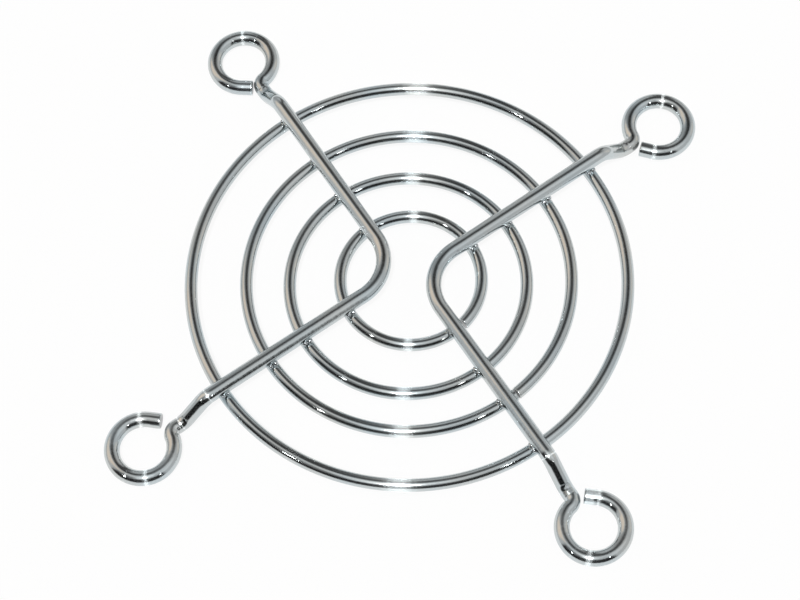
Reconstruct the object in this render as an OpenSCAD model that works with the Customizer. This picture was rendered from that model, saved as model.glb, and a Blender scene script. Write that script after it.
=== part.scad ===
// Wire finger guard for a 60 mm axial fan.
//
// Four wire rings lie side by side in one plane. Two V shaped mounting wires
// lie across the top of them and are spot welded to every ring they cross, so
// each ring is held at four points. Outside the last ring every leg steps down
// towards the fan and ends in a round eye for a screw, and the four eyes are
// what the guard stands on.
//
// Millimetres, +Z away from the fan. The origin is the middle of the four screw
// holes, on the fan's face. The two V's open towards -X and +X.

/* [Fan] */
// Distance between neighbouring screw hole centres
hole_spacing = 50; // [49:0.5:60]

/* [Rings] */
// Thickness of the ring wire
ring_wire = 1.45; // [1.2:0.05:1.75]
// Inner ring, across the middle of its wire
inner_ring_diameter = 16; // [13.2:0.2:20]
// Second ring, across the middle of its wire
second_ring_diameter = 26.8; // [23:0.2:32]
// How far towards -Y of the middle the second ring is welded
second_ring_shift = 0.45; // [0:0.05:0.8]
// Third ring, across the middle of its wire
third_ring_diameter = 36.8; // [34:0.2:42]
// Outer ring, across the middle of its wire
outer_ring_diameter = 49.4; // [41:0.2:50]

/* [Ring joints] */
// Gap between the two cut ends of the inner ring, left open beside a leg
inner_joint_gap = 0.5; // [0.2:0.05:0.8]
// How much of that gap is under the leg
inner_joint_cover = 0.15; // [0:0.05:0.3]
// Gap between the two cut ends of each of the other rings
joint_gap = 0.15; // [0.1:0.05:0.4]
// Distance from the leg to the third ring's joint
third_joint_clearance = 0.6; // [0.2:0.1:3]

/* [Mounting wires] */
// Thickness of the mounting wire
mounting_wire = 1.75; // [1.4:0.05:2.1]
// Distance from the middle of the guard to where the lines of two legs meet
leg_crossing = 0.9; // [0.5:0.1:2]
// Radius of the bend at the point of the V, to the middle of the wire
point_bend_radius = 5.3; // [3:0.1:6.4]
// How deep a leg is set down into each ring by its weld
weld_set_down = 0.1; // [0.05:0.01:0.2]

/* [Step down to the fan] */
// How much lower the eyes are than the legs
eye_drop = 2.6; // [2:0.1:3.2]
// Slope of the step
step_angle = 40; // [30:1:55]
// Radius of the two bends of the step, to the inside of the bend
step_inside_radius = 1.25; // [0.5:0.05:1.6]
// Straight wire between the step and the eye
neck_length = 0.3; // [0.1:0.05:1]

/* [Screw eyes] */
// Diameter the inside of the eye is sized to, for the screw
screw_hole_diameter = 5.2; // [4.6:0.1:6.5]
// Radius of the tight bend that turns a leg out into its eye, to the inside
kink_inside_radius = 0.1; // [0.1:0.05:0.6]
// Straight wire left at the end of the eye
eye_end_length = 1.4; // [0.2:0.1:1.6]
// Gap between the end of the eye and the tight bend it comes back to
eye_end_gap = 0.25; // [0.15:0.05:0.4]

/* [Hidden] */
$fn = 96;

steel = [0.78, 0.79, 0.8];

hole_reach = hole_spacing / 2;
leg_angle = atan2(hole_reach, hole_reach - leg_crossing);
leg_reach = norm([hole_reach, hole_reach - leg_crossing]);

// Straight lengths run this far into the bends beside them, and a bend's wire
// is this much stouter than straight wire, so the two make one solid
lap = 0.05;
bend_swell = 0.01;
bent_wire = mounting_wire + 2 * bend_swell;

// Heights of the middles of the wires
eye_z = bent_wire / 2;
leg_z = eye_z + eye_drop;
ring_z = leg_z - (mounting_wire + ring_wire) / 2 + weld_set_down;

// The point of the V
point_centre = leg_crossing + point_bend_radius / sin(leg_angle);
leg_start = point_bend_radius / tan(leg_angle);

// The eye is bent this much narrower inside than the screw hole it is sized to
sizing_allowance = 0.1;

// The eye and the kink before it, which turns out as far as the eye turns back.
// A short straight of eye_lead joins them
eye_lead = 0.1;
eye_radius = (screw_hole_diameter - sizing_allowance + bent_wire) / 2;
kink_radius = kink_inside_radius + bent_wire / 2;
bends = kink_radius + eye_radius;
centres_apart = norm([bends, eye_lead]);
kink_turn = acos(kink_radius / centres_apart) - atan2(eye_lead, bends);
kink_start = leg_reach - bends * sin(kink_turn) - eye_lead * cos(kink_turn);

// How far round the eye goes before its straight end, which stops short of the
// kink by eye_end_gap
eye_wrap_angle = 360 - atan2(eye_lead, bends)
    - asin((eye_end_length + eye_end_gap + kink_radius + bent_wire / 2)
           / centres_apart);

// The step, measured along the leg
step_radius = step_inside_radius + bent_wire / 2;
step_slope = (eye_drop - 2 * step_radius * (1 - cos(step_angle))) / sin(step_angle);
step_length = 2 * step_radius * sin(step_angle) + step_slope * cos(step_angle);
step_end = kink_start - neck_length;
step_start = step_end - step_length;

// Where the middle of the leg nearest +X -Y crosses a ring of a given radius and
// shift: distance along the leg, and the angle below +X at which the crossing is
// seen from the middle of the ring
function crossing_along(radius, shift) =
    let (near = leg_crossing * cos(leg_angle) - shift * sin(leg_angle))
        sqrt(near * near + radius * radius
             - leg_crossing * leg_crossing - shift * shift) - near;
function crossing_angle(radius, shift) =
    let (along = crossing_along(radius, shift))
        atan2(along * sin(leg_angle) - shift,
              leg_crossing + along * cos(leg_angle));

// Round wire bent about +Z
module bend(radius, wire, from, to)
    rotate([0, 0, from])
        rotate_extrude(angle = to - from)
            translate([radius, 0])
                circle(d = wire);

// Straight round wire along +X, lapped into what is at each end of it
module straight(length, wire)
    rotate([0, 90, 0])
        translate([0, 0, -lap])
            cylinder(d = wire, h = length + 2 * lap);

// The step down, from leg height to eye height, in the leg's own plane
module step() {
    translate([step_start, 0, leg_z - step_radius])
        rotate([90, 0, 0])
            bend(step_radius, bent_wire, 90 - step_angle, 90);
    translate([step_start + step_radius * sin(step_angle), 0,
               leg_z - step_radius * (1 - cos(step_angle))])
        rotate([0, step_angle, 0])
            straight(step_slope, mounting_wire);
    translate([step_end, 0, eye_z + step_radius])
        rotate([90, 0, 0])
            bend(step_radius, bent_wire, -90 - step_angle, -90);
}

// Straight end of the eye along +X, lapped into the eye and cut square
module eye_end()
    rotate([0, 90, 0])
        translate([0, 0, -lap])
            cylinder(d = mounting_wire, h = eye_end_length + lap);

// Neck, kink and eye
module eye()
    difference() {
        union() {
            translate([step_end, 0, eye_z])
                straight(neck_length, mounting_wire);
            translate([kink_start, kink_radius, eye_z])
                bend(kink_radius, bent_wire, -90, kink_turn - 90);
            translate([leg_reach, 0, eye_z])
                rotate([0, 0, kink_turn]) {
                    translate([-eye_lead, eye_radius, 0])
                        straight(eye_lead, mounting_wire);
                    bend(eye_radius, bent_wire, 90 - eye_wrap_angle, 90);
                    rotate([0, 0, 90 - eye_wrap_angle])
                        translate([eye_radius, 0, 0])
                            rotate([0, 0, -90])
                                eye_end();
                }
        }
        translate([leg_reach, 0, -1])
            cylinder(d = screw_hole_diameter, h = mounting_wire + 2);
    }

// One leg, along +X from where the two legs' lines meet
module leg() {
    translate([leg_start, 0, leg_z])
        straight(step_start - leg_start, mounting_wire);
    step();
    eye();
}

// The flat upper wire of one V: the point and the two straight legs
module mounting_wire_solid() {
    translate([point_centre, 0, leg_z])
        bend(point_bend_radius, bent_wire, 90 + leg_angle, 270 - leg_angle);
    for (side = [0, 1])
        mirror([0, side, 0])
            translate([leg_crossing, 0, 0])
                rotate([0, 0, leg_angle])
                    leg();
}

// What a ring loses where the four legs are set down into it
module leg_seats()
    for (turn = [0, 180])
        rotate([0, 0, turn])
            for (side = [0, 1])
                mirror([0, side, 0])
                    translate([leg_crossing, 0, leg_z])
                        rotate([0, 0, leg_angle])
                            translate([leg_start, 0, 0])
                                straight(step_start - leg_start, mounting_wire);

// A ring, cut at the leg nearest +X -Y. joint_offset is measured along the ring
// from the middle of that leg to the middle of the gap
module ring(diameter, gap, joint_offset, shift = 0) {
    half_gap = gap / diameter * 180 / PI;
    joint = joint_offset / diameter * 360 / PI - crossing_angle(diameter / 2, shift);
    difference() {
        translate([0, -shift, ring_z])
            bend(diameter / 2, ring_wire, joint + half_gap, joint + 360 - half_gap);
        leg_seats();
    }
}

// The inner ring's joint starts under the edge of the leg and can be seen open
module inner_ring()
    color(steel)
        ring(inner_ring_diameter, inner_joint_gap,
             (mounting_wire + inner_joint_gap) / 2 - inner_joint_cover);

module second_ring()
    color(steel)
        ring(second_ring_diameter, joint_gap, 0, second_ring_shift);

// The third ring's joint is just clear of the leg
module third_ring()
    color(steel)
        ring(third_ring_diameter, joint_gap,
             (mounting_wire + joint_gap) / 2 + third_joint_clearance);

module outer_ring() color(steel) ring(outer_ring_diameter, joint_gap, 0);
module right_mounting_wire() color(steel) mounting_wire_solid();
module left_mounting_wire() color(steel) rotate([0, 0, 180]) mounting_wire_solid();

inner_ring();
second_ring();
third_ring();
outer_ring();
left_mounting_wire();
right_mounting_wire();
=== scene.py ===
"""Wire finger guard for a 60 mm fan: the looks of it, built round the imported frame.

Four rings of thin wire lie in one plane, and two V shaped mounting wires lie
across them. The wires are spot welded where they cross, then the whole guard is
bright plated. Everything is laid out in millimetres in the frame of the CAD
model and turned to metres where a mesh is made.
"""

import logging
import math
from dataclasses import dataclass, field
from enum import Enum
from typing import Any

import bpy
from mathutils import Matrix, Vector


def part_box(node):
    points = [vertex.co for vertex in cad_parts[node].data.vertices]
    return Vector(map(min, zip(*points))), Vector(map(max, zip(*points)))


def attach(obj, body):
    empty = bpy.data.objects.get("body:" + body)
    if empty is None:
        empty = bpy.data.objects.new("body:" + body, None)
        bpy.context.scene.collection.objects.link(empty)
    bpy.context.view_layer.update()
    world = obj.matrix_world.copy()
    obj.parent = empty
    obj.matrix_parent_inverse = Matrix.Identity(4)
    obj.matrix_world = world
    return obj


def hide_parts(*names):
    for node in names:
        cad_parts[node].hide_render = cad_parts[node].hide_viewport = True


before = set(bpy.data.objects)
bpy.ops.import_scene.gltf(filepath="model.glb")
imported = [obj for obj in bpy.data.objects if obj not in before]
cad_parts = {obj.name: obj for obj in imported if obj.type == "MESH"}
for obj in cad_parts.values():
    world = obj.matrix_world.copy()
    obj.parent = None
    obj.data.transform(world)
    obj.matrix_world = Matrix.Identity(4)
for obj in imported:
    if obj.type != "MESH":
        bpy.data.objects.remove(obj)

MM = 0.001
LOG = logging.getLogger("fan_guard")


# ---------------------------------------------------------------- small tools


def linear(colour: str) -> tuple[float, float, float, float]:
    """Turns an sRGB hex colour into the linear colour that a shader takes.

    Args:
        colour: the colour, as "#rrggbb".

    Returns:
        Red, green, blue and alpha, the first three linear.
    """
    parts = [int(colour[i : i + 2], 16) / 255.0 for i in (1, 3, 5)]
    flat = [c / 12.92 if c <= 0.04045 else ((c + 0.055) / 1.055) ** 2.4 for c in parts]
    return flat[0], flat[1], flat[2], 1.0


def add_node(
    tree: bpy.types.NodeTree,
    kind: str,
    inputs: dict[Any, Any] | None = None,
    **settings: Any,
) -> bpy.types.Node:
    """Adds one node, with its settings, its input values and its links.

    Args:
        tree: the node tree it goes in.
        kind: Blender's name for the node's type.
        inputs: for each input's name or number, a value or a socket to link.
        settings: the node's own properties.

    Returns:
        The new node.
    """
    node = tree.nodes.new(kind)
    for name, value in settings.items():
        setattr(node, name, value)
    for key, value in (inputs or {}).items():
        socket = node.inputs[key]
        if isinstance(value, bpy.types.NodeSocket):
            tree.links.new(value, socket)
        else:
            socket.default_value = value
    return node


def socket_id(tree: bpy.types.NodeTree, name: str) -> str:
    """Finds the identifier of a node group's named input.

    Args:
        tree: the node group.
        name: the input's name.

    Returns:
        The identifier that a modifier knows it by.
    """
    for item in tree.interface.items_tree:
        if item.item_type == "SOCKET" and item.in_out == "INPUT" and item.name == name:
            return item.identifier
    raise KeyError(name)


def grow(
    name: str,
    seed_mesh: bpy.types.Mesh,
    tree: bpy.types.NodeTree,
    values: dict[str, Any],
) -> bpy.types.Object:
    """Runs a Geometry Nodes tree on a mesh and keeps the result as a plain mesh.

    Args:
        name: the finished piece's name.
        seed_mesh: the mesh the tree starts from.
        tree: the tree.
        values: the tree's inputs, by name.

    Returns:
        An object at the origin with no modifier left on it.
    """
    piece = bpy.data.objects.new(name, seed_mesh)
    bpy.context.scene.collection.objects.link(piece)
    modifier = piece.modifiers.new(name, "NODES")
    modifier.node_group = tree
    for key, value in values.items():
        modifier[socket_id(tree, key)] = value
    depsgraph = bpy.context.evaluated_depsgraph_get()
    grown = bpy.data.meshes.new_from_object(piece.evaluated_get(depsgraph), depsgraph=depsgraph)
    piece.modifiers.clear()
    piece.data = grown
    grown.name = name
    bpy.data.meshes.remove(seed_mesh)
    return piece


# ------------------------------------------------------------------- finishes


class Tint(Enum):
    """The colours that the guard and its surroundings are made of."""

    CHROME = "#c9d3d7"
    NICKEL = "#d1d3d1"
    SHEARED = "#b4b5b6"
    FLASH = "#bdc2c5"
    PAPER = "#f4f4f4"
    WHITE = "#ffffff"


@dataclass(frozen=True)
class PlatedWireFinish:
    """Drawn steel wire, bright nickel and chrome plated in a barrel.

    The die leaves fine lines that run along the wire, which plating rounds over
    but doesn't fill: reflections stay sharp along the wire and are spread a
    little across it. The coat is thin and not quite even, so the colour drifts
    between chrome's blue grey and the warmer nickel below.
    """

    name: str
    roughness: float = 0.11
    spread: float = 0.88
    # The die lines throw part of the light far round the wire and hardly along it
    streak: float = 0.13
    streak_roughness: float = 0.31
    streak_spread: float = 0.89
    # Die lines are 0.01 to 0.03 mm apart. They are drawn 0.16 mm apart, the
    # finest that still shows.
    line_gap: float = 0.16
    line_depth: float = 0.0004
    # Slow waves of the straightening rolls
    wave_gap: float = 1.6
    wave_depth: float = 0.006
    # Small knocks from the plating barrel
    knock_gap: float = 0.5
    knock_depth: float = 0.004

    def make(self) -> bpy.types.Material:
        """Builds the material.

        Returns:
            The material, which reads the wire's own attributes.
        """
        material = bpy.data.materials.new(self.name)
        material.use_nodes = True
        tree = material.node_tree
        tree.nodes.clear()
        grain = add_node(tree, "ShaderNodeAttribute", attribute_name="grain").outputs["Vector"]
        drawn = add_node(
            tree, "ShaderNodeMapping", {"Vector": grain, "Scale": (0.02, 1.0, 1.0)}
        ).outputs[0]
        lines = add_node(
            tree, "ShaderNodeTexNoise", {"Vector": drawn, "Scale": 1.0 / self.line_gap, "Detail": 2.0}
        )
        waves = add_node(
            tree, "ShaderNodeTexNoise", {"Vector": grain, "Scale": 1.0 / self.wave_gap, "Detail": 1.0}
        )
        knocks = add_node(
            tree, "ShaderNodeTexNoise", {"Vector": grain, "Scale": 1.0 / self.knock_gap, "Detail": 2.0}
        )
        drift = add_node(tree, "ShaderNodeTexNoise", {"Vector": grain, "Scale": 0.12, "Detail": 3.0})
        tone = add_node(
            tree,
            "ShaderNodeMapRange",
            {"Value": drift.outputs["Fac"], "From Min": 0.38, "From Max": 0.68},
        )
        colour = add_node(
            tree,
            "ShaderNodeMix",
            {
                0: tone.outputs[0],
                6: linear(Tint.CHROME.value),
                7: linear(Tint.NICKEL.value),
            },
            data_type="RGBA",
        )
        dulling = add_node(
            tree,
            "ShaderNodeMapRange",
            {
                "Value": lines.outputs["Fac"],
                "From Min": 0.3,
                "From Max": 0.7,
                "To Min": self.roughness * 0.8,
                "To Max": self.roughness * 1.25,
            },
        )
        rolled = add_node(
            tree,
            "ShaderNodeBump",
            {"Height": waves.outputs["Fac"], "Distance": self.wave_depth * MM, "Strength": 1.0},
        )
        knocked = add_node(
            tree,
            "ShaderNodeBump",
            {
                "Height": knocks.outputs["Fac"],
                "Distance": self.knock_depth * MM,
                "Strength": 1.0,
                "Normal": rolled.outputs[0],
            },
        )
        scored = add_node(
            tree,
            "ShaderNodeBump",
            {
                "Height": lines.outputs["Fac"],
                "Distance": self.line_depth * MM,
                "Strength": 1.0,
                "Normal": knocked.outputs[0],
            },
        )
        along = add_node(tree, "ShaderNodeTangent", direction_type="UV_MAP", uv_map="UVMap")
        shader = add_node(
            tree,
            "ShaderNodeBsdfPrincipled",
            {
                "Base Color": colour.outputs[2],
                "Metallic": 1.0,
                "Roughness": dulling.outputs[0],
                "Normal": scored.outputs[0],
                "Anisotropic": self.spread,
                "Anisotropic Rotation": 0.25,
                "Tangent": along.outputs[0],
            },
        )
        scatter = add_node(
            tree,
            "ShaderNodeBsdfAnisotropic",
            {
                "Color": colour.outputs[2],
                "Roughness": self.streak_roughness,
                "Anisotropy": self.streak_spread,
                "Normal": knocked.outputs[0],
                "Tangent": along.outputs[0],
            },
        )
        both = add_node(
            tree, "ShaderNodeMixShader", {0: self.streak, 1: shader.outputs[0], 2: scatter.outputs[0]}
        )
        add_node(tree, "ShaderNodeOutputMaterial", {"Surface": both.outputs[0]})
        return material


@dataclass(frozen=True)
class RoughPlatedFinish:
    """Steel that was rough before it was plated, so the coat shines but is uneven.

    The lumps break reflections up, and bright points stand beside dark ones.
    """

    name: str
    tint: Tint
    roughness: float = 0.24
    lump_gap: float = 0.3
    lump_depth: float = 0.02

    def make(self) -> bpy.types.Material:
        """Builds the material.

        Returns:
            The material, which lies on object coordinates.
        """
        material = bpy.data.materials.new(self.name)
        material.use_nodes = True
        tree = material.node_tree
        tree.nodes.clear()
        place = add_node(tree, "ShaderNodeTexCoord").outputs["Object"]
        lumps = add_node(
            tree,
            "ShaderNodeTexNoise",
            {"Vector": place, "Scale": 1.0 / (self.lump_gap * MM), "Detail": 3.0},
        )
        uneven = add_node(
            tree,
            "ShaderNodeBump",
            {"Height": lumps.outputs["Fac"], "Distance": self.lump_depth * MM, "Strength": 1.0},
        )
        shader = add_node(
            tree,
            "ShaderNodeBsdfPrincipled",
            {
                "Base Color": linear(self.tint.value),
                "Metallic": 1.0,
                "Roughness": self.roughness,
                "Normal": uneven.outputs[0],
            },
        )
        add_node(tree, "ShaderNodeOutputMaterial", {"Surface": shader.outputs[0]})
        return material


@dataclass(frozen=True)
class PaperFinish:
    """White background paper. Matt and even, so it shows nothing of its own."""

    name: str = "white_background_paper"
    glow: float = 0.9

    def make(self) -> bpy.types.Material:
        """Builds the paper, which stays white but keeps the object's shadow.

        Returns:
            The material.
        """
        material = bpy.data.materials.new(self.name)
        material.use_nodes = True
        tree = material.node_tree
        tree.nodes.clear()
        path = add_node(tree, "ShaderNodeLightPath")
        seen = add_node(
            tree,
            "ShaderNodeMath",
            {0: path.outputs["Is Camera Ray"], 1: path.outputs["Is Glossy Ray"]},
            operation="MAXIMUM",
        )
        seen = add_node(
            tree,
            "ShaderNodeMath",
            {0: seen.outputs[0], 1: path.outputs["Is Transmission Ray"]},
            operation="MAXIMUM",
        )
        share = add_node(
            tree, "ShaderNodeMath", {0: seen.outputs[0], 1: self.glow}, operation="MULTIPLY"
        )
        matt = add_node(tree, "ShaderNodeBsdfDiffuse", {"Color": linear(Tint.PAPER.value)})
        white = add_node(
            tree, "ShaderNodeEmission", {"Color": linear(Tint.WHITE.value), "Strength": 1.0}
        )
        mixed = add_node(
            tree, "ShaderNodeMixShader", {0: share.outputs[0], 1: matt.outputs[0], 2: white.outputs[0]}
        )
        add_node(tree, "ShaderNodeOutputMaterial", {"Surface": mixed.outputs[0]})
        return material


# ----------------------------------------------------------------- wire forms


class Turn(Enum):
    """The ways a forming machine can turn the wire, seen along the feed."""

    LEFT = "left"
    RIGHT = "right"
    UP = "up"
    DOWN = "down"


@dataclass
class Station:
    """One point on a wire's centre line, in millimetres."""

    place: Vector
    along: float
    inward: Vector
    strain: float = 0.0
    girth: float = 1.0
    press: float = 0.0


@dataclass
class WireFormer:
    """Makes a wire's centre line as a forming machine does: feed, turn, feed."""

    place: Vector
    heading: Vector
    thickness: float
    upward: Vector = field(default_factory=lambda: Vector((0.0, 0.0, 1.0)))
    fed: float = 0.0
    stations: list[Station] = field(default_factory=list)

    def mark(self, inward: Vector, strain: float) -> None:
        """Records the point that the machine has reached.

        Args:
            inward: direction to the middle of the bend, or none on a straight.
            strain: how hard the wire is bent there, 0 to 1.
        """
        self.stations.append(Station(self.place.copy(), self.fed, inward.copy(), strain))

    def feed(self, length: float, step: float = 0.2) -> None:
        """Feeds a straight length.

        Args:
            length: how much wire, in mm.
            step: the widest spacing of the recorded points.
        """
        count = max(1, math.ceil(length / step))
        for _ in range(count):
            self.place = self.place + self.heading * (length / count)
            self.fed += length / count
            self.mark(Vector((0.0, 0.0, 0.0)), 0.0)

    def turn(self, way: Turn, radius: float, degrees: float, step: float = 0.12) -> None:
        """Turns the wire round a pin.

        Args:
            way: the way it turns.
            radius: radius of the bend to the middle of the wire, in mm.
            degrees: how far it turns.
            step: the widest spacing of the recorded points.
        """
        side = self.upward.cross(self.heading)
        centre, axis = {
            Turn.LEFT: (self.place + side * radius, self.upward),
            Turn.RIGHT: (self.place - side * radius, -self.upward),
            Turn.UP: (self.place + self.upward * radius, -side),
            Turn.DOWN: (self.place - self.upward * radius, side),
        }[way]
        angle = math.radians(degrees)
        count = max(2, math.ceil(radius * angle / step))
        turning = Matrix.Rotation(angle / count, 3, axis)
        strain = self.thickness / (2.0 * radius)
        for _ in range(count):
            self.place = centre + turning @ (self.place - centre)
            self.heading = turning @ self.heading
            self.upward = turning @ self.upward
            self.fed += radius * angle / count
            self.mark((centre - self.place).normalized(), strain)


def nick_ends(stations: list[Station], rounding: float, thickness: float) -> list[Station]:
    """Rounds over the rims of a wire's two sheared ends.

    Args:
        stations: the wire's centre line.
        rounding: radius of the rim, in mm.
        thickness: the wire's thickness, in mm.

    Returns:
        The centre line with close points at its ends, drawn in to the rim.
    """
    steps = [0.0, 0.08, 0.2, 0.4, 0.7, 1.0]

    def rim(end: Station, inner: Station) -> list[Station]:
        """Makes the points of one rim, from the end inwards."""
        way = (inner.place - end.place).normalized()
        made = []
        for s in steps:
            pull = rounding * (1.0 - math.sqrt(1.0 - (1.0 - s) ** 2))
            made.append(
                Station(
                    end.place + way * (s * rounding),
                    end.along + (inner.along - end.along) * s * rounding / (inner.place - end.place).length,
                    end.inward,
                    end.strain,
                    1.0 - 2.0 * pull / thickness,
                )
            )
        return made

    first = rim(stations[0], stations[1])
    last = rim(stations[-1], stations[-2])
    body = [
        s
        for s in stations[1:-1]
        if (s.place - stations[0].place).length > rounding * 1.3
        and (s.place - stations[-1].place).length > rounding * 1.3
    ]
    return first + body + last[::-1]


def path_mesh(name: str, stations: list[Station]) -> bpy.types.Mesh:
    """Turns a centre line into a mesh of edges that carries its facts.

    Args:
        name: the mesh's name.
        stations: the centre line.

    Returns:
        The mesh, in metres.
    """
    mesh = bpy.data.meshes.new(name)
    mesh.from_pydata(
        [s.place * MM for s in stations], [(i, i + 1) for i in range(len(stations) - 1)], []
    )
    for fact in ("along", "strain", "girth", "press"):
        layer = mesh.attributes.new(fact, "FLOAT", "POINT")
        layer.data.foreach_set("value", [getattr(s, fact) for s in stations])
    layer = mesh.attributes.new("inward", "FLOAT_VECTOR", "POINT")
    layer.data.foreach_set("vector", [c for s in stations for c in s.inward])
    return mesh


class WireTree:
    """The Geometry Nodes tree that sweeps round wire along a centre line."""

    # Strides between seeds, so that no two wires waver or wear alike
    waver_stride = 17.3
    grain_stride = 31.7
    # A strain of one over this leaves no waver
    strain_calm = 6.0
    # How far round the wire a wrinkle and a die line's grain change
    wrinkle_reach = 0.35
    grain_reach = 0.7
    # UV length of a millimetre of wire
    unrolled_scale = 0.01

    def __init__(self) -> None:
        """Makes the tree."""
        self.tree = self.make()

    @staticmethod
    def make() -> bpy.types.NodeTree:
        """Builds the tree.

        Returns:
            The node group, with its sizes as named inputs.
        """
        tree = bpy.data.node_groups.new("drawn_wire", "GeometryNodeTree")
        face = tree.interface
        face.new_socket("Geometry", in_out="INPUT", socket_type="NodeSocketGeometry")
        for name, kind, value in (
            ("Thickness", "NodeSocketFloat", 1.45 * MM),
            ("Sides", "NodeSocketInt", 32),
            ("Wrinkle depth", "NodeSocketFloat", 0.03 * MM),
            ("Wrinkle gap", "NodeSocketFloat", 0.7),
            ("Waver", "NodeSocketFloat", 0.03 * MM),
            ("Waver gap", "NodeSocketFloat", 9.0),
            ("Press depth", "NodeSocketFloat", 0.06 * MM),
            ("Seed", "NodeSocketFloat", 1.0),
        ):
            face.new_socket(name, in_out="INPUT", socket_type=kind).default_value = value
        face.new_socket("Finish", in_out="INPUT", socket_type="NodeSocketMaterial")
        face.new_socket("Cut finish", in_out="INPUT", socket_type="NodeSocketMaterial")
        face.new_socket("Geometry", in_out="OUTPUT", socket_type="NodeSocketGeometry")
        given = add_node(tree, "NodeGroupInput").outputs

        def named(name: str, kind: str = "FLOAT") -> bpy.types.NodeSocket:
            """Reads a named attribute."""
            return add_node(
                tree, "GeometryNodeInputNamedAttribute", {"Name": name}, data_type=kind
            ).outputs["Attribute"]

        def math_of(operation: str, *terms: Any) -> bpy.types.NodeSocket:
            """Works out one step of arithmetic."""
            return add_node(
                tree, "ShaderNodeMath", dict(enumerate(terms)), operation=operation
            ).outputs[0]

        def vector_of(operation: str, inputs: dict[Any, Any]) -> bpy.types.Node:
            """Works out one step of vector arithmetic."""
            return add_node(tree, "ShaderNodeVectorMath", inputs, operation=operation)

        line = add_node(tree, "GeometryNodeMeshToCurve", {"Mesh": given["Geometry"]})
        # The wire wavers a little from its true line, less where it is bent hard
        sway = add_node(
            tree,
            "ShaderNodeTexNoise",
            {
                "Vector": add_node(
                    tree,
                    "ShaderNodeCombineXYZ",
                    {0: named("along"), 1: math_of("MULTIPLY", given["Seed"], WireTree.waver_stride)},
                ).outputs[0],
                "Scale": math_of("DIVIDE", 1.0, given["Waver gap"]),
                "Detail": 1.0,
            },
        )
        centred = vector_of("SUBTRACT", {0: sway.outputs["Color"], 1: (0.5, 0.5, 0.5)})
        bent = math_of("MULTIPLY", named("strain"), WireTree.strain_calm)
        calm = math_of("SUBTRACT", 1.0, math_of("MINIMUM", 1.0, bent))
        shift = vector_of(
            "SCALE",
            {
                0: vector_of("MULTIPLY", {0: centred.outputs[0], 1: (1.0, 1.0, 0.3)}).outputs[0],
                3: math_of("MULTIPLY", math_of("MULTIPLY", given["Waver"], 2.0), calm),
            },
        )
        wavering = add_node(
            tree,
            "GeometryNodeSetPosition",
            {"Geometry": line.outputs[0], "Offset": shift.outputs[0]},
        )
        profile = add_node(
            tree,
            "GeometryNodeCurvePrimitiveCircle",
            {"Resolution": given["Sides"], "Radius": math_of("DIVIDE", given["Thickness"], 2.0)},
        )
        turned = add_node(
            tree,
            "GeometryNodeStoreNamedAttribute",
            {
                "Geometry": profile.outputs[0],
                "Name": "around",
                "Value": add_node(tree, "GeometryNodeSplineParameter").outputs["Factor"],
            },
            data_type="FLOAT",
            domain="POINT",
        )
        swept = add_node(
            tree,
            "GeometryNodeCurveToMesh",
            {
                "Curve": wavering.outputs[0],
                "Profile Curve": turned.outputs[0],
                "Scale": named("girth"),
                "Fill Caps": True,
            },
        )
        # Wrinkles on the inside of a tight bend, where the steel is crowded
        normal = add_node(tree, "GeometryNodeInputNormal").outputs[0]
        toward = vector_of("DOT_PRODUCT", {0: normal, 1: named("inward", "FLOAT_VECTOR")})
        facing = math_of("MAXIMUM", 0.0, toward.outputs["Value"])
        round_angle = math_of("MULTIPLY", named("around"), 2.0 * math.pi)
        crumple = add_node(
            tree,
            "ShaderNodeTexNoise",
            {
                "Vector": add_node(
                    tree,
                    "ShaderNodeCombineXYZ",
                    {
                        0: named("along"),
                        1: math_of("MULTIPLY", math_of("COSINE", round_angle), WireTree.wrinkle_reach),
                        2: math_of(
                            "ADD",
                            math_of("MULTIPLY", math_of("SINE", round_angle), WireTree.wrinkle_reach),
                            given["Seed"],
                        ),
                    },
                ).outputs[0],
                "Scale": math_of("DIVIDE", 1.0, given["Wrinkle gap"]),
                "Detail": 1.5,
            },
        )
        depth = math_of(
            "MULTIPLY",
            math_of("MULTIPLY", math_of("POWER", facing, 1.5), named("strain")),
            math_of("MULTIPLY", crumple.outputs["Fac"], given["Wrinkle depth"]),
        )
        upper = math_of("MAXIMUM", 0.0, add_node(tree, "ShaderNodeSeparateXYZ", {0: normal}).outputs[2])
        dent = math_of("MULTIPLY", math_of("MULTIPLY", named("press"), upper), given["Press depth"])
        sunk = vector_of("SCALE", {0: normal, 3: math_of("MULTIPLY", math_of("ADD", depth, dent), -1.0)})
        shaped = add_node(
            tree,
            "GeometryNodeSetPosition",
            {"Geometry": swept.outputs[0], "Offset": sunk.outputs[0]},
        )
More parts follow.
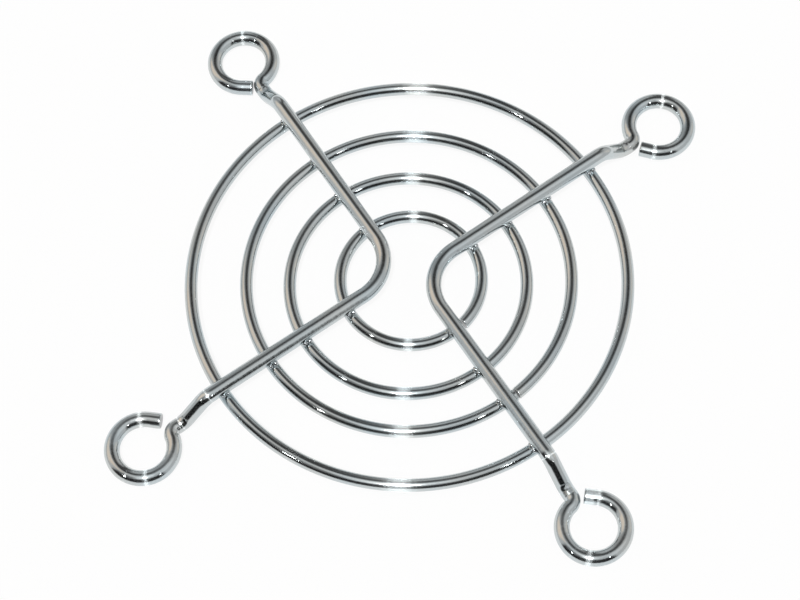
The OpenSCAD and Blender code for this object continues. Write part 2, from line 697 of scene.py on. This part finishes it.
        # Where each point lay in the straight wire, for the die lines
        grain = add_node(
            tree,
            "GeometryNodeStoreNamedAttribute",
            {
                "Geometry": shaped.outputs[0],
                "Name": "grain",
                "Value": add_node(
                    tree,
                    "ShaderNodeCombineXYZ",
                    {
                        0: math_of(
                            "ADD",
                            named("along"),
                            math_of("MULTIPLY", given["Seed"], WireTree.grain_stride),
                        ),
                        1: math_of("MULTIPLY", math_of("COSINE", round_angle), WireTree.grain_reach),
                        2: math_of("MULTIPLY", math_of("SINE", round_angle), WireTree.grain_reach),
                    },
                ).outputs[0],
            },
            data_type="FLOAT_VECTOR",
            domain="POINT",
        )
        unrolled = add_node(
            tree,
            "GeometryNodeStoreNamedAttribute",
            {
                "Geometry": grain.outputs[0],
                "Name": "UVMap",
                "Value": add_node(
                    tree,
                    "ShaderNodeCombineXYZ",
                    {0: math_of("MULTIPLY", named("along"), WireTree.unrolled_scale), 1: named("around")},
                ).outputs[0],
            },
            data_type="FLOAT2",
            domain="CORNER",
        )
        round_side = add_node(
            tree,
            "FunctionNodeCompare",
            {2: add_node(tree, "GeometryNodeInputMeshFaceNeighbors").outputs[0], 3: 4},
            data_type="INT",
            operation="LESS_EQUAL",
        )
        smooth = add_node(
            tree,
            "GeometryNodeSetShadeSmooth",
            {"Geometry": unrolled.outputs[0], "Shade Smooth": round_side.outputs[0]},
        )
        solid = add_node(tree, "GeometryNodeRealizeInstances", {0: smooth.outputs[0]})
        dressed = add_node(
            tree,
            "GeometryNodeSetMaterial",
            {"Geometry": solid.outputs[0], "Material": given["Finish"]},
        )
        cut = add_node(
            tree,
            "FunctionNodeCompare",
            {2: add_node(tree, "GeometryNodeInputMeshFaceNeighbors").outputs[0], 3: 4},
            data_type="INT",
            operation="GREATER_THAN",
        )
        ended = add_node(
            tree,
            "GeometryNodeSetMaterial",
            {"Geometry": dressed.outputs[0], "Selection": cut.outputs[0], "Material": given["Cut finish"]},
        )
        add_node(tree, "NodeGroupOutput", {0: ended.outputs[0]})
        return tree


class FlashTree:
    """The Geometry Nodes tree that sets a bead of squeezed out metal on each point."""

    def __init__(self) -> None:
        """Makes the tree."""
        self.tree = self.make()

    @staticmethod
    def make() -> bpy.types.NodeTree:
        """Builds the tree.

        Returns:
            The node group, with its sizes as named inputs.
        """
        tree = bpy.data.node_groups.new("weld_flash", "GeometryNodeTree")
        face = tree.interface
        face.new_socket("Geometry", in_out="INPUT", socket_type="NodeSocketGeometry")
        for name, kind, value in (
            ("Bead radius", "NodeSocketFloat", 0.3 * MM),
            ("Segments", "NodeSocketInt", 14),
            ("Lump depth", "NodeSocketFloat", 0.12 * MM),
            ("Lump gap", "NodeSocketFloat", 0.35 * MM),
            ("Seed", "NodeSocketInt", 3),
        ):
            face.new_socket(name, in_out="INPUT", socket_type=kind).default_value = value
        face.new_socket("Finish", in_out="INPUT", socket_type="NodeSocketMaterial")
        face.new_socket("Geometry", in_out="OUTPUT", socket_type="NodeSocketGeometry")
        given = add_node(tree, "NodeGroupInput").outputs
        bead = add_node(
            tree,
            "GeometryNodeMeshUVSphere",
            {"Segments": given["Segments"], "Rings": 9, "Radius": given["Bead radius"]},
        )
        facing = add_node(
            tree, "GeometryNodeInputNamedAttribute", {"Name": "facing"}, data_type="FLOAT_VECTOR"
        )
        girth = add_node(tree, "GeometryNodeInputNamedAttribute", {"Name": "girth"}, data_type="FLOAT")
        turned = add_node(
            tree, "FunctionNodeAlignRotationToVector", {"Vector": facing.outputs["Attribute"]}, axis="X"
        )
        uneven = add_node(
            tree,
            "FunctionNodeRandomValue",
            {0: (0.7, 0.8, 0.6), 1: (1.2, 1.35, 1.0), "Seed": given["Seed"]},
            data_type="FLOAT_VECTOR",
        )
        sized = add_node(
            tree,
            "ShaderNodeVectorMath",
            {0: uneven.outputs[0], 3: girth.outputs["Attribute"]},
            operation="SCALE",
        )
        set_out = add_node(
            tree,
            "GeometryNodeInstanceOnPoints",
            {
                "Points": given["Geometry"],
                "Instance": bead.outputs["Mesh"],
                "Rotation": turned.outputs[0],
                "Scale": sized.outputs[0],
            },
        )
        solid = add_node(tree, "GeometryNodeRealizeInstances", {0: set_out.outputs[0]})
        place = add_node(tree, "GeometryNodeInputPosition").outputs[0]
        lumps = add_node(
            tree,
            "ShaderNodeTexNoise",
            {
                "Vector": place,
                "Scale": add_node(
                    tree, "ShaderNodeMath", {0: 1.0, 1: given["Lump gap"]}, operation="DIVIDE"
                ).outputs[0],
                "Detail": 1.0,
            },
        )
        swell = add_node(
            tree,
            "ShaderNodeMath",
            {
                0: add_node(
                    tree, "ShaderNodeMath", {0: lumps.outputs["Fac"], 1: 0.5}, operation="SUBTRACT"
                ).outputs[0],
                1: given["Lump depth"],
            },
            operation="MULTIPLY",
        )
        outward = add_node(
            tree,
            "ShaderNodeVectorMath",
            {0: add_node(tree, "GeometryNodeInputNormal").outputs[0], 3: swell.outputs[0]},
            operation="SCALE",
        )
        lumpy = add_node(
            tree, "GeometryNodeSetPosition", {"Geometry": solid.outputs[0], "Offset": outward.outputs[0]}
        )
        smooth = add_node(tree, "GeometryNodeSetShadeSmooth", {"Geometry": lumpy.outputs[0]})
        dressed = add_node(
            tree, "GeometryNodeSetMaterial", {"Geometry": smooth.outputs[0], "Material": given["Finish"]}
        )
        add_node(tree, "NodeGroupOutput", {0: dressed.outputs[0]})
        return tree


# --------------------------------------------------------------------- pieces


@dataclass
class GuardRing:
    """One ring of thin wire, cut where its two ends meet near a leg."""

    node: str
    joint_degrees: float
    joint_gap: float
    seed: float
    slip: tuple[float, float] = (0.0, 0.0)
    waver: float = 0.03
    sides: int = 32
    rim: float = 0.1
    centre: Vector | None = None
    radius: float = 0.0
    thickness: float = 0.0
    piece: bpy.types.Object | None = None

    def build(self, wire: WireTree, finish: bpy.types.Material, cut: bpy.types.Material) -> None:
        """Sweeps the ring where its CAD node lies.

        Args:
            wire: the wire sweeping tree.
            finish: the plated finish.
            cut: the finish of the sheared ends.
        """
        low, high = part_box(self.node)
        thickness = (high.z - low.z) / MM
        radius = (high.x - low.x) / MM / 2.0 - thickness / 2.0
        centre = (low + high) / 2.0 / MM + Vector((*self.slip, 0.0))
        self.centre, self.radius, self.thickness = centre, radius, thickness
        half = math.degrees(self.joint_gap / 2.0 / radius)
        start = math.radians(self.joint_degrees + half)
        spoke = Vector((math.cos(start), math.sin(start), 0.0))
        former = WireFormer(
            centre + spoke * radius, Vector((-spoke.y, spoke.x, 0.0)), thickness
        )
        former.mark(-spoke, thickness / 2.0 / radius)
        former.turn(Turn.LEFT, radius, 360.0 - 2.0 * half, 0.3)
        stations = nick_ends(former.stations, self.rim, thickness)
        self.piece = grow(
            self.node + "_wire",
            path_mesh(self.node, stations),
            wire.tree,
            {
                "Thickness": thickness * MM,
                "Sides": self.sides,
                "Waver": self.waver * MM,
                "Seed": self.seed,
                "Finish": finish,
                "Cut finish": cut,
            },
        )

    def dress(self) -> None:
        """Sets the ring in the frame in place of its CAD node."""
        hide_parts(self.node)
        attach(self.piece, "root")


class Side(Enum):
    """Which way a mounting wire opens."""

    RIGHT = 1
    LEFT = -1


@dataclass
class MountingWire:
    """A V of thicker wire: a point, two legs, two steps down and two eyes."""

    node: str
    side: Side
    seed: float
    thickness: float = 1.75
    bend_swell: float = 0.01
    hole_spacing: float = 50.0
    leg_crossing: float = 0.9
    point_bend_radius: float = 5.3
    eye_drop: float = 2.6
    step_degrees: float = 40.0
    step_inside_radius: float = 1.25
    neck: float = 0.3
    eye_inside_diameter: float = 5.1
    kink_inside_radius: float = 0.1
    eye_lead: float = 0.1
    eye_end: float = 1.4
    # Each eye springs open a little differently: the half towards +X +Y, then the other
    eye_end_gaps: tuple[float, float] = (0.25, 0.25)
    wrinkle_depth: float = 0.12
    # Ridges that the bending jaws left across the wire: distance back from the
    # kink of each, for either half
    jaw_marks: tuple[tuple[float, ...], tuple[float, ...]] = ((), ())
    jaw_mark_width: float = 0.09
    sides: int = 32
    rim: float = 0.12
    piece: bpy.types.Object | None = None

    def leg(self, height: float, gap: float, marks: tuple[float, ...]) -> list[Station]:
        """Forms half the wire, from the middle of the point to an eye's end.

        Args:
            height: height of the leg's middle, in mm.
            gap: gap between the end of the eye and the kink.
            marks: how far back from the kink each jaw mark lies.

        Returns:
            The centre line of the half that runs towards +X +Y.
        """
        reach = self.hole_spacing / 2.0
        angle = math.atan2(reach, reach - self.leg_crossing)
        length = math.hypot(reach, reach - self.leg_crossing)
        bent = self.thickness / 2.0 + self.bend_swell
        eye = self.eye_inside_diameter / 2.0 + bent
        kink = self.kink_inside_radius + bent
        bends = kink + eye
        apart = math.hypot(bends, self.eye_lead)
        kink_turn = math.acos(kink / apart) - math.atan2(self.eye_lead, bends)
        wrap = (
            360.0
            - math.degrees(math.atan2(self.eye_lead, bends))
            - math.degrees(math.asin((self.eye_end + gap + kink + bent) / apart))
        )
        kink_start = length - bends * math.sin(kink_turn) - self.eye_lead * math.cos(kink_turn)
        step = self.step_inside_radius + bent
        slant = math.radians(self.step_degrees)
        slope = (self.eye_drop - 2.0 * step * (1.0 - math.cos(slant))) / math.sin(slant)
        step_length = 2.0 * step * math.sin(slant) + slope * math.cos(slant)
        start = kink_start - self.neck - step_length
        point = self.leg_crossing + self.point_bend_radius / math.sin(angle) - self.point_bend_radius
        former = WireFormer(Vector((point, 0.0, height)), Vector((0.0, 1.0, 0.0)), self.thickness)
        former.mark(Vector((1.0, 0.0, 0.0)), self.thickness / 2.0 / self.point_bend_radius)
        former.turn(Turn.RIGHT, self.point_bend_radius, 90.0 - math.degrees(angle))
        former.feed(start - self.point_bend_radius / math.tan(angle))
        former.turn(Turn.DOWN, step, self.step_degrees)
        former.feed(slope)
        former.turn(Turn.UP, step, self.step_degrees, 0.05)
        former.feed(self.neck, 0.05)
        for station in former.stations:
            for mark in marks:
                off = (former.fed - mark - station.along) / self.jaw_mark_width
                station.press = max(station.press, math.exp(-off * off))
        former.turn(Turn.LEFT, kink, math.degrees(kink_turn), 0.07)
        former.feed(self.eye_lead, 0.1)
        former.turn(Turn.RIGHT, eye, wrap)
        former.feed(self.eye_end)
        return former.stations

    def build(self, wire: WireTree, finish: bpy.types.Material, cut: bpy.types.Material) -> None:
        """Forms both halves and sweeps them as one wire.

        Args:
            wire: the wire sweeping tree.
            finish: the plated finish.
            cut: the finish of the sheared ends.
        """
        low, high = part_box(self.node)
        height = high.z / MM - self.thickness / 2.0 - self.bend_swell
        upper = self.leg(height, self.eye_end_gaps[0], self.jaw_marks[0])
        lower = [
            Station(
                Vector((s.place.x, -s.place.y, s.place.z)),
                -s.along,
                Vector((s.inward.x, -s.inward.y, s.inward.z)),
                s.strain,
                press=s.press,
            )
            for s in self.leg(height, self.eye_end_gaps[1], self.jaw_marks[1])[1:]
        ]
        stations = lower[::-1] + upper
        sign = float(self.side.value)
        for s in stations:
            s.place = Vector((s.place.x * sign, s.place.y * sign, s.place.z))
            s.inward = Vector((s.inward.x * sign, s.inward.y * sign, s.inward.z))
        stations = nick_ends(stations, self.rim, self.thickness)
        self.piece = grow(
            self.node + "_formed",
            path_mesh(self.node, stations),
            wire.tree,
            {
                "Thickness": self.thickness * MM,
                "Sides": self.sides,
                "Waver": 0.0,
                "Wrinkle depth": self.wrinkle_depth * MM,
                "Wrinkle gap": 0.6,
                "Seed": self.seed,
                "Finish": finish,
                "Cut finish": cut,
            },
        )

    def dress(self) -> None:
        """Sets the wire in the frame in place of its CAD node."""
        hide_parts(self.node)
        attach(self.piece, "root")


@dataclass
class WeldFlash:
    """Beads of metal squeezed out where the legs were pressed into the rings."""

    leg_crossing: float = 0.9
    hole_spacing: float = 50.0
    mounting_wire: float = 1.75
    # How far the beads lie from the leg's middle, and to either side of the ring's
    out: float = 0.72
    astride: float = 0.3
    bead_radius: float = 0.26
    # How high a bead's middle lies on the ring, as a share of the ring's wire
    lift: float = 0.47
    # Smallest bulk of a bead, and the step between its five sizes
    least_bulk: float = 0.8
    bulk_step: float = 0.12
    piece: bpy.types.Object | None = None

    def beads(self, rings: list[GuardRing]) -> list[tuple[Vector, Vector, float]]:
        """Finds the places of the beads.

        Args:
            rings: the rings, already built.

        Returns:
            For each bead its middle, the way its ring runs, and its size.
        """
        reach = self.hole_spacing / 2.0
        found = []
        for ring in rings:
            for turn, (side, over) in enumerate(((1, 1), (-1, 1), (-1, -1), (1, -1))):
                start = Vector((self.leg_crossing * side, 0.0, 0.0))
                way = Vector((reach * side, reach * over, 0.0)) - start
                way.normalize()
                middle = Vector((ring.centre.x, ring.centre.y, 0.0))
                apart = start - middle
                near = apart.dot(way)
                along = -near + math.sqrt(near**2 - apart.length_squared + ring.radius**2)
                cross = start + way * along
                spoke = (cross - middle).normalized()
                runs = Vector((-spoke.y, spoke.x, 0.0))
                slant = abs(runs.cross(way).z)
                for k, (left, inner) in enumerate(((1, 1), (1, -1), (-1, 1), (-1, -1))):
                    size = (3 * turn + 5 * k + int(ring.radius)) % 5
                    bulk = self.least_bulk + self.bulk_step * size
                    place = cross + runs * (left * self.out / slant) + spoke * (inner * self.astride)
                    place.z = ring.centre.z + ring.thickness * self.lift
                    found.append((place, runs, bulk))
        return found

    def build(self, flash: FlashTree, rings: list[GuardRing], finish: bpy.types.Material) -> None:
        """Sets the beads at the sixteen welds.

        Args:
            flash: the bead setting tree.
            rings: the rings, already built.
            finish: the beads' finish.
        """
        found = self.beads(rings)
        mesh = bpy.data.meshes.new("weld_points")
        mesh.from_pydata([place * MM for place, _, _ in found], [], [])
        mesh.attributes.new("facing", "FLOAT_VECTOR", "POINT").data.foreach_set(
            "vector", [c for _, runs, _ in found for c in runs]
        )
        mesh.attributes.new("girth", "FLOAT", "POINT").data.foreach_set(
            "value", [bulk for _, _, bulk in found]
        )
        self.piece = grow(
            "weld_flash", mesh, flash.tree, {"Bead radius": self.bead_radius * MM, "Finish": finish}
        )

    def dress(self) -> None:
        """Sets the beads in the frame, as ring wire that ran."""
        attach(self.piece, "root")


# --------------------------------------------------------------------- studio


@dataclass(frozen=True)
class Patch:
    """A soft edged rectangle of the room that polished wire mirrors.

    Angles are in degrees: azimuth round +Z from +X, elevation over the floor.
    """

    name: str
    azimuth: float
    elevation: float
    half_width: float
    half_height: float
    edge: float
    level: float
    tint: str = "#ffffff"


@dataclass(frozen=True)
class Lamp:
    """A small flash head a good way off, which gives polished wire its sparks."""

    name: str
    azimuth: float
    elevation: float
    strength: float
    width: float = 5.0

    def hang(self) -> bpy.types.Object:
        """Hangs the lamp.

        Returns:
            The lamp's object.
        """
        data = bpy.data.lights.new(self.name, "SUN")
        data.energy = self.strength
        data.angle = math.radians(self.width)
        lamp = bpy.data.objects.new(self.name, data)
        turn, rise = math.radians(self.azimuth), math.radians(self.elevation)
        way = Vector((math.cos(turn) * math.cos(rise), math.sin(turn) * math.cos(rise), math.sin(rise)))
        lamp.matrix_world = Matrix.Translation(way * 0.6) @ way.to_track_quat("Z", "Y").to_matrix().to_4x4()
        bpy.context.scene.collection.objects.link(lamp)
        return lamp


@dataclass
class Studio:
    """White paper in a light tent that is open, and dark, behind the camera."""

    wall: float = 0.62
    patches: tuple[Patch, ...] = (
        Patch("roof", 0.0, 90.0, 180.0, 14.0, 16.0, 0.86),
        Patch("near_roof", 266.0, 80.0, 42.0, 11.0, 18.0, 1.15),
        Patch("left_curtain", 136.0, 24.0, 14.0, 38.0, 16.0, 0.42),
        Patch("warm_wall", 174.0, 44.0, 18.0, 24.0, 16.0, 1.0, "#ffeddc"),
        Patch("right_wall", 350.0, 58.0, 26.0, 14.0, 16.0, 0.84),
        Patch("right_card", 32.0, 22.0, 12.0, 14.0, 14.0, 0.8, "#fff8f0"),
        Patch("dark_room", 268.0, 27.0, 60.0, 24.0, 10.0, 0.0),
        Patch("dark_shoulder", 225.0, 56.0, 22.0, 11.0, 14.0, 0.25),
        Patch("far_curtain", 92.0, 2.0, 30.0, 14.0, 16.0, 0.42),
        Patch("far_column", 90.0, 30.0, 9.0, 22.0, 14.0, 0.08),
        Patch("far_ridge", 93.0, 61.0, 44.0, 18.0, 42.0, 0.0),
        Patch("soft_box", 268.0, 70.0, 16.0, 12.0, 14.0, 1.2),
    )
    lamps: tuple[Lamp, ...] = (
        Lamp("key_head", 272.0, 70.0, 1.7),
        Lamp("left_head", 230.0, 45.0, 0.1, 3.0),
        Lamp("right_head", 320.0, 45.0, 0.05, 3.0),
    )

    def world(self) -> None:
        """Builds the lit tent that polished wire mirrors."""
        world = bpy.data.worlds.new("light_tent")
        bpy.context.scene.world = world
        world.use_nodes = True
        tree = world.node_tree
        tree.nodes.clear()
        way = add_node(tree, "ShaderNodeTexCoord").outputs["Generated"]
        parts = add_node(tree, "ShaderNodeSeparateXYZ", {0: way})

        def math_of(operation: str, *terms: Any) -> bpy.types.NodeSocket:
            """Works out one step of arithmetic."""
            return add_node(tree, "ShaderNodeMath", dict(enumerate(terms)), operation=operation).outputs[0]

        def window(value: bpy.types.NodeSocket, half: float, edge: float) -> bpy.types.NodeSocket:
            """Gives 1 within half a width of zero, and 0 past its soft edge."""
            return add_node(
                tree,
                "ShaderNodeMapRange",
                {
                    "Value": math_of("ABSOLUTE", value),
                    "From Min": math.radians(half - edge / 2.0),
                    "From Max": math.radians(half + edge / 2.0),
                    "To Min": 1.0,
                    "To Max": 0.0,
                },
                interpolation_type="SMOOTHSTEP",
            ).outputs[0]

        height = math_of("ARCSINE", parts.outputs[2])
        glow = add_node(
            tree, "ShaderNodeCombineXYZ", {0: self.wall, 1: self.wall, 2: self.wall}
        ).outputs[0]
        for patch in self.patches:
            turn = math.radians(patch.azimuth)
            turned = add_node(
                tree,
                "ShaderNodeVectorRotate",
                {"Vector": way, "Angle": -turn},
                rotation_type="Z_AXIS",
            )
            apart = add_node(tree, "ShaderNodeSeparateXYZ", {0: turned.outputs[0]})
            across = math_of("ARCTAN2", apart.outputs[1], apart.outputs[0])
            over = math_of("SUBTRACT", height, math.radians(patch.elevation))
            share = math_of(
                "MULTIPLY",
                window(across, patch.half_width, patch.edge),
                window(over, patch.half_height, patch.edge),
            )
            tint = linear(patch.tint)
            glow = add_node(
                tree,
                "ShaderNodeMix",
                {0: share, 4: glow, 5: tuple(c * patch.level for c in tint[:3])},
                data_type="VECTOR",
                clamp_factor=True,
            ).outputs[1]
        tent = add_node(tree, "ShaderNodeBackground", {"Color": glow, "Strength": 1.0})
        add_node(tree, "ShaderNodeOutputWorld", {"Surface": tent.outputs[0]})

    def floor(self) -> bpy.types.Object:
        """Lays the paper under the guard.

        Returns:
            The paper.
        """
        half, drop = 1.5, -0.00003
        mesh = bpy.data.meshes.new("paper")
        mesh.from_pydata(
            [(-half, -half, drop), (half, -half, drop), (half, half, drop), (-half, half, drop)],
            [],
            [(0, 1, 2, 3)],
        )
        mesh.materials.append(PaperFinish().make())
        paper = bpy.data.objects.new("paper", mesh)
        bpy.context.scene.collection.objects.link(paper)
        return paper

    def camera(self) -> bpy.types.Object:
        """Sets the camera over the guard, a little to the right of square on.

        Returns:
            The camera.
        """
        elevation, roll, turn = math.radians(65.51), math.radians(-3.81), math.radians(14.44)
        distance = 225.24
        low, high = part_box("outer_ring")
        look = Vector((-1.17, -2.63, (low.z + high.z) / 2.0 / MM))
        back = Vector((0.0, -math.cos(elevation), math.sin(elevation)))
        right = Vector((1.0, 0.0, 0.0))
        up = back.cross(right)
        place = look + back * distance
        spin = Matrix.Rotation(turn, 3, "Z")
        across = right * math.cos(roll) + up * math.sin(roll)
        over = up * math.cos(roll) - right * math.sin(roll)
        basis = spin @ Matrix((across, over, back)).transposed()
        data = bpy.data.cameras.new("camera")
        data.sensor_width = 36.0
        data.lens = 90.0
        data.clip_start = 0.01
        data.clip_end = 20.0
        camera = bpy.data.objects.new("camera", data)
        bpy.context.scene.collection.objects.link(camera)
        camera.matrix_world = Matrix.Translation((spin @ place) * MM) @ basis.to_4x4()
        bpy.context.scene.camera = camera
        return camera


# ----------------------------------------------------------------------- main


def crossing_degrees(
    radius: float, shift: float = 0.0, crossing: float = 0.9, spacing: float = 50.0
) -> float:
    """Works out where the leg nearest +X -Y crosses a ring.

    Args:
        radius: the ring's radius, in mm.
        shift: how far the ring lies towards -Y.
        crossing: distance from the middle to where the legs' lines meet.
        spacing: distance between neighbouring screw holes.

    Returns:
        The angle below +X at which the crossing is seen from the ring's middle.
    """
    leg = math.atan2(spacing / 2.0, spacing / 2.0 - crossing)
    near = crossing * math.cos(leg) - shift * math.sin(leg)
    along = math.sqrt(near**2 + radius**2 - crossing**2 - shift**2) - near
    return math.degrees(math.atan2(along * math.sin(leg) - shift, crossing + along * math.cos(leg)))


def main() -> None:
    """Builds the guard piece by piece, then the studio round it."""
    logging.basicConfig(level=logging.INFO, format="%(name)s: %(message)s")
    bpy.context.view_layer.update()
    bpy.context.scene.view_settings.view_transform = "Standard"
    wire = WireTree()
    # Thin wire comes off the straightener smoother than the thick
    ring_finish = PlatedWireFinish("bright_plated_ring_wire", knock_depth=0.003).make()
    mounting_finish = PlatedWireFinish(
        "bright_plated_mounting_wire", wave_depth=0.012, knock_depth=0.007
    ).make()
    # The shear tears the steel, so cut ends stay dull under the plating
    cut_finish = RoughPlatedFinish("plated_sheared_end", Tint.SHEARED, 0.38, 0.2, 0.03).make()
    # Metal that ran at the weld glitters where the wires only gleam
    flash_finish = RoughPlatedFinish("plated_weld_flash", Tint.FLASH).make()

    def joint(radius: float, offset: float, shift: float = 0.0) -> float:
        """Gives the angle of a ring's joint, an arc's length past the lower right leg."""
        return math.degrees(offset / radius) - crossing_degrees(radius, shift)

    rings = [
        GuardRing(
            "inner_ring",
            joint_degrees=joint(radius=8.0, offset=0.975),
            joint_gap=0.5,
            seed=1.0,
            slip=(0.26, -0.16),
        ),
        GuardRing(
            "second_ring",
            joint_degrees=joint(radius=13.4, offset=0.0, shift=0.45),
            joint_gap=0.15,
            seed=2.0,
            slip=(0.04, -0.2),
        ),
        GuardRing(
            "third_ring",
            joint_degrees=joint(radius=18.4, offset=1.55),
            joint_gap=0.15,
            seed=3.0,
            slip=(0.0, -0.1),
        ),
        GuardRing(
            "outer_ring",
            joint_degrees=joint(radius=24.7, offset=0.0),
            joint_gap=0.15,
            seed=4.0,
        ),
    ]
    for ring in rings:
        ring.build(wire, ring_finish, cut_finish)
        ring.dress()
        LOG.info("%s: %d faces", ring.piece.name, len(ring.piece.data.polygons))
    wires = [
        MountingWire(
            "right_mounting_wire",
            Side.RIGHT,
            5.0,
            eye_end_gaps=(0.2, 0.3),
            jaw_marks=((), (0.05, 0.28, 0.5, 0.74)),
        ),
        MountingWire("left_mounting_wire", Side.LEFT, 6.0, eye_end_gaps=(0.55, 0.08)),
    ]
    for formed in wires:
        formed.build(wire, mounting_finish, cut_finish)
        formed.dress()
        LOG.info("%s: %d faces", formed.piece.name, len(formed.piece.data.polygons))
    flash = WeldFlash()
    flash.build(FlashTree(), rings, flash_finish)
    flash.dress()
    LOG.info("%s: %d faces", flash.piece.name, len(flash.piece.data.polygons))
    studio = Studio()
    studio.world()
    for lamp in studio.lamps:
        lamp.hang()
    studio.floor()
    studio.camera()


if __name__ == "__main__":
    main()
